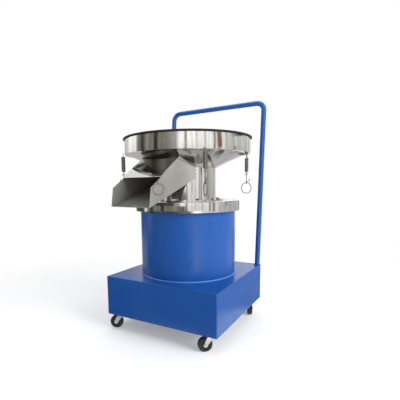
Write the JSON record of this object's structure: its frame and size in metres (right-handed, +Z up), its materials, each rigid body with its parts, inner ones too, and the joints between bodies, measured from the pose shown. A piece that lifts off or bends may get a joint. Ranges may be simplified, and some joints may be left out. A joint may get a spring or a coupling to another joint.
{
  "type": "vibrating sieve",
  "caption": "Round vibrating sieve with a sloped discharge chute and spring latches, on a drum and a square caster base with a push handle.",
  "frame": {"origin": "on the floor, on the axis of the drum and tray, at the middle of the square base", "axes": "+Z up, -Y towards the chute, +Y towards the push handle, +X to the right of the chute"},
  "size_m": [0.6135, 0.7524, 1.124],
  "materials": {
    "blue_paint": "semi-gloss paint",
    "polished_stainless": "mirror-polished stainless steel",
    "zinc_plate": "bright zinc plate",
    "spring_steel": "bright spring wire",
    "inner_paint": "plain dark paint",
    "dark_spring": "black coating",
    "motor_paint": "grey paint",
    "cast_iron": "as cast",
    "ground_steel": "ground",
    "black_rubber": "matt rubber",
    "woven_wire": "woven wire",
    "black_plastic": "satin plastic",
    "black_tyre": "matt rubber"
  },
  "bodies": {
    "cart": {"base_shell": "blue_paint", "caster_corner_plates": "blue_paint", "push_handle": "blue_paint", "caster_plates": "zinc_plate", "caster_bolts": "zinc_plate", "drum_shell": "blue_paint", "spring_shelf": "inner_paint", "lower_spring_seats": "inner_paint", "isolation_springs": "dark_spring", "cable_gland": "black_plastic"},
    "sieve_head": {"vibrating_plate": "inner_paint", "upper_spring_seats": "inner_paint", "drum_lid": "polished_stainless", "neck_tube": "polished_stainless", "neck_bolts": "zinc_plate", "cone_funnel": "polished_stainless", "tray_band": "polished_stainless", "discharge_pan": "polished_stainless", "chute_body": "polished_stainless", "chute_cover": "polished_stainless", "latch_lugs": "polished_stainless", "motor_flange": "motor_paint", "motor_bolts": "zinc_plate", "motor_housing": "motor_paint", "stator_core": "cast_iron", "motor_cap": "motor_paint", "motor_bearings": "ground_steel"},
    "rotor": {"motor_shaft": "ground_steel", "rotor_core": "cast_iron", "upper_weight": "cast_iron", "lower_weight": "cast_iron"},
    "screen": {"rim_gasket": "black_rubber", "screen_ring": "polished_stainless", "screen_cloth": "woven_wire"},
    "latch_front_right_arm": {"latch_front_right_spring": "spring_steel"},
    "latch_front_right_pull": {"latch_front_right_hook": "spring_steel"},
    "latch_front_right_loop": {"latch_front_right_ring": "spring_steel"},
    "latch_rear_right_arm": {"latch_rear_right_spring": "spring_steel"},
    "latch_rear_right_pull": {"latch_rear_right_hook": "spring_steel"},
    "latch_rear_right_loop": {"latch_rear_right_ring": "spring_steel"},
    "latch_rear_left_arm": {"latch_rear_left_spring": "spring_steel"},
    "latch_rear_left_pull": {"latch_rear_left_hook": "spring_steel"},
    "latch_rear_left_loop": {"latch_rear_left_ring": "spring_steel"},
    "latch_front_left_arm": {"latch_front_left_spring": "spring_steel"},
    "latch_front_left_pull": {"latch_front_left_hook": "spring_steel"},
    "latch_front_left_loop": {"latch_front_left_ring": "spring_steel"},
    "caster_front_right_swivel": {"caster_front_right_fork": "zinc_plate", "caster_front_right_axle": "zinc_plate"},
    "caster_front_right_roll": {"caster_front_right_wheel": "black_tyre"},
    "caster_front_left_swivel": {"caster_front_left_fork": "zinc_plate", "caster_front_left_axle": "zinc_plate"},
    "caster_front_left_roll": {"caster_front_left_wheel": "black_tyre"},
    "caster_rear_right_swivel": {"caster_rear_right_fork": "zinc_plate", "caster_rear_right_axle": "zinc_plate"},
    "caster_rear_right_roll": {"caster_rear_right_wheel": "black_tyre"},
    "caster_rear_left_swivel": {"caster_rear_left_fork": "zinc_plate", "caster_rear_left_axle": "zinc_plate"},
    "caster_rear_left_roll": {"caster_rear_left_wheel": "black_tyre"}
  },
  "joints": [
    {"name": "head_bounce", "type": "slide", "parent": "cart", "child": "sieve_head", "axis": [0, 0, 1], "range_m": [-0.004, 0.004], "stiffness_N_per_m": 120000, "springref_m": 0.0058, "deforming": ["isolation_springs"]},
    {"name": "rotor_spin", "type": "hinge", "parent": "sieve_head", "child": "rotor", "pos_m": [0, 0, 0.4935], "axis": [0, 0, 1], "continuous": true},
    {"name": "screen_lift", "type": "slide", "parent": "sieve_head", "child": "screen", "axis": [0, 0, 1], "range_m": [0, 0.12]},
    {"name": "latch_front_right_swing", "type": "hinge", "parent": "sieve_head", "child": "latch_front_right_arm", "pos_m": [0.20808, -0.22708, 0.832], "axis": [-0.7373, -0.6756, 0], "range_deg": [-8, 165]},
    {"name": "latch_front_right_stretch", "type": "slide", "parent": "latch_front_right_arm", "child": "latch_front_right_pull", "axis": [0, 0, -1], "range_m": [0, 0.025], "stiffness_N_per_m": 1500, "springref_m": -0.003, "deforming": ["latch_front_right_spring"]},
    {"name": "latch_front_right_ring_swing", "type": "hinge", "parent": "latch_front_right_pull", "child": "latch_front_right_loop", "pos_m": [0.20808, -0.22708, 0.6965], "axis": [0.6756, -0.7373, 0], "range_deg": [-60, 60]},
    {"name": "latch_rear_right_swing", "type": "hinge", "parent": "sieve_head", "child": "latch_rear_right_arm", "pos_m": [0.22708, 0.20808, 0.832], "axis": [0.6756, -0.7373, 0], "range_deg": [-8, 165]},
    {"name": "latch_rear_right_stretch", "type": "slide", "parent": "latch_rear_right_arm", "child": "latch_rear_right_pull", "axis": [0, 0, -1], "range_m": [0, 0.025], "stiffness_N_per_m": 1500, "springref_m": -0.003, "deforming": ["latch_rear_right_spring"]},
    {"name": "latch_rear_right_ring_swing", "type": "hinge", "parent": "latch_rear_right_pull", "child": "latch_rear_right_loop", "pos_m": [0.22708, 0.20808, 0.6965], "axis": [0.7373, 0.6756, 0], "range_deg": [-60, 60]},
    {"name": "latch_rear_left_swing", "type": "hinge", "parent": "sieve_head", "child": "latch_rear_left_arm", "pos_m": [-0.22708, 0.20808, 0.832], "axis": [0.6756, 0.7373, 0], "range_deg": [-8, 165]},
    {"name": "latch_rear_left_stretch", "type": "slide", "parent": "latch_rear_left_arm", "child": "latch_rear_left_pull", "axis": [0, 0, -1], "range_m": [0, 0.025], "stiffness_N_per_m": 1500, "springref_m": -0.003, "deforming": ["latch_rear_left_spring"]},
    {"name": "latch_rear_left_ring_swing", "type": "hinge", "parent": "latch_rear_left_pull", "child": "latch_rear_left_loop", "pos_m": [-0.22708, 0.20808, 0.6965], "axis": [-0.7373, 0.6756, 0], "range_deg": [-60, 60]},
    {"name": "latch_front_left_swing", "type": "hinge", "parent": "sieve_head", "child": "latch_front_left_arm", "pos_m": [-0.22708, -0.20808, 0.832], "axis": [-0.6756, 0.7373, 0], "range_deg": [-8, 165]},
    {"name": "latch_front_left_stretch", "type": "slide", "parent": "latch_front_left_arm", "child": "latch_front_left_pull", "axis": [0, 0, -1], "range_m": [0, 0.025], "stiffness_N_per_m": 1500, "springref_m": -0.003, "deforming": ["latch_front_left_spring"]},
    {"name": "latch_front_left_ring_swing", "type": "hinge", "parent": "latch_front_left_pull", "child": "latch_front_left_loop", "pos_m": [-0.22708, -0.20808, 0.6965], "axis": [-0.7373, -0.6756, 0], "range_deg": [-60, 60]},
    {"name": "caster_front_right_turn", "type": "hinge", "parent": "cart", "child": "caster_front_right_swivel", "pos_m": [0.239, -0.239, 0.068], "axis": [0, 0, 1], "continuous": true},
    {"name": "caster_front_right_spin", "type": "hinge", "parent": "caster_front_right_swivel", "child": "caster_front_right_roll", "pos_m": [0.21893, -0.25707, 0.031], "axis": [0.6691, -0.7431, 0], "continuous": true},
    {"name": "caster_front_left_turn", "type": "hinge", "parent": "cart", "child": "caster_front_left_swivel", "pos_m": [-0.239, -0.239, 0.068], "axis": [0, 0, 1], "continuous": true},
    {"name": "caster_front_left_spin", "type": "hinge", "parent": "caster_front_left_swivel", "child": "caster_front_left_roll", "pos_m": [-0.26385, -0.24955, 0.031], "axis": [0.3907, -0.9205, 0], "continuous": true},
    {"name": "caster_rear_right_turn", "type": "hinge", "parent": "cart", "child": "caster_rear_right_swivel", "pos_m": [0.239, 0.239, 0.068], "axis": [0, 0, 1], "continuous": true},
    {"name": "caster_rear_right_spin", "type": "hinge", "parent": "caster_rear_right_swivel", "child": "caster_rear_right_roll", "pos_m": [0.25084, 0.21473, 0.031], "axis": [0.8988, 0.4384, 0], "continuous": true},
    {"name": "caster_rear_left_turn", "type": "hinge", "parent": "cart", "child": "caster_rear_left_swivel", "pos_m": [-0.239, 0.239, 0.068], "axis": [0, 0, 1], "continuous": true},
    {"name": "caster_rear_left_spin", "type": "hinge", "parent": "caster_rear_left_swivel", "child": "caster_rear_left_roll", "pos_m": [-0.25168, 0.21516, 0.031], "axis": [0.8829, -0.4695, 0], "continuous": true}
  ]
}
